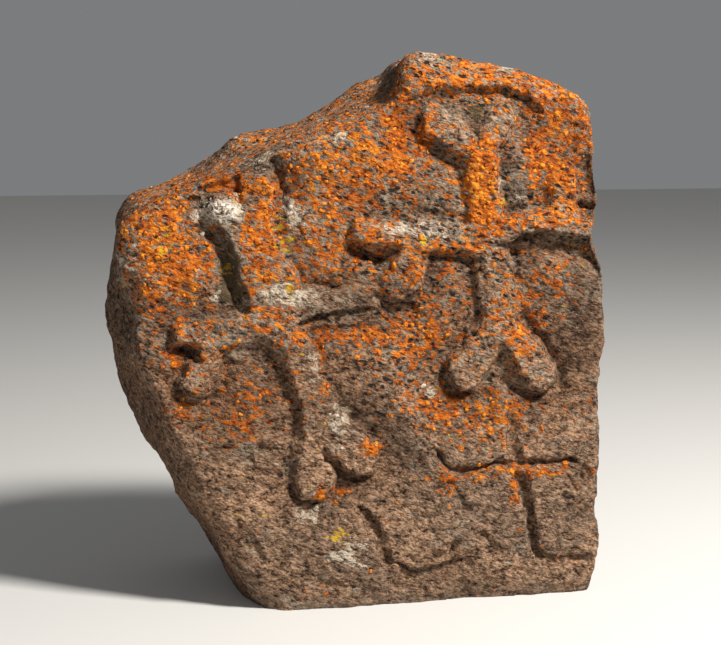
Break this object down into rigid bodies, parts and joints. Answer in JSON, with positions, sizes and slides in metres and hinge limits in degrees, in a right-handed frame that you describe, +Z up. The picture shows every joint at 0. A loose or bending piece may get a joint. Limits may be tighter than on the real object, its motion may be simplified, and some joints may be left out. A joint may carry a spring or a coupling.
{
  "type": "khachkar",
  "caption": "Rough, weathered field-stone khachkar: sunk-relief crosses on its leaning face, a broken shoulder, and a flat underside that it stands on.",
  "frame": {"origin": "bottom centre of the bounding box, on the flat underside where the stone meets the ground", "axes": "+Z up, the carved face looks along -Y, +X to the right of a person looking at the face"},
  "size_m": [0.9184, 0.3992, 1.005],
  "materials": {
    "stone": "rough"
  },
  "bodies": {
    "root": {"carved_stone": "stone"}
  },
  "joints": []
}
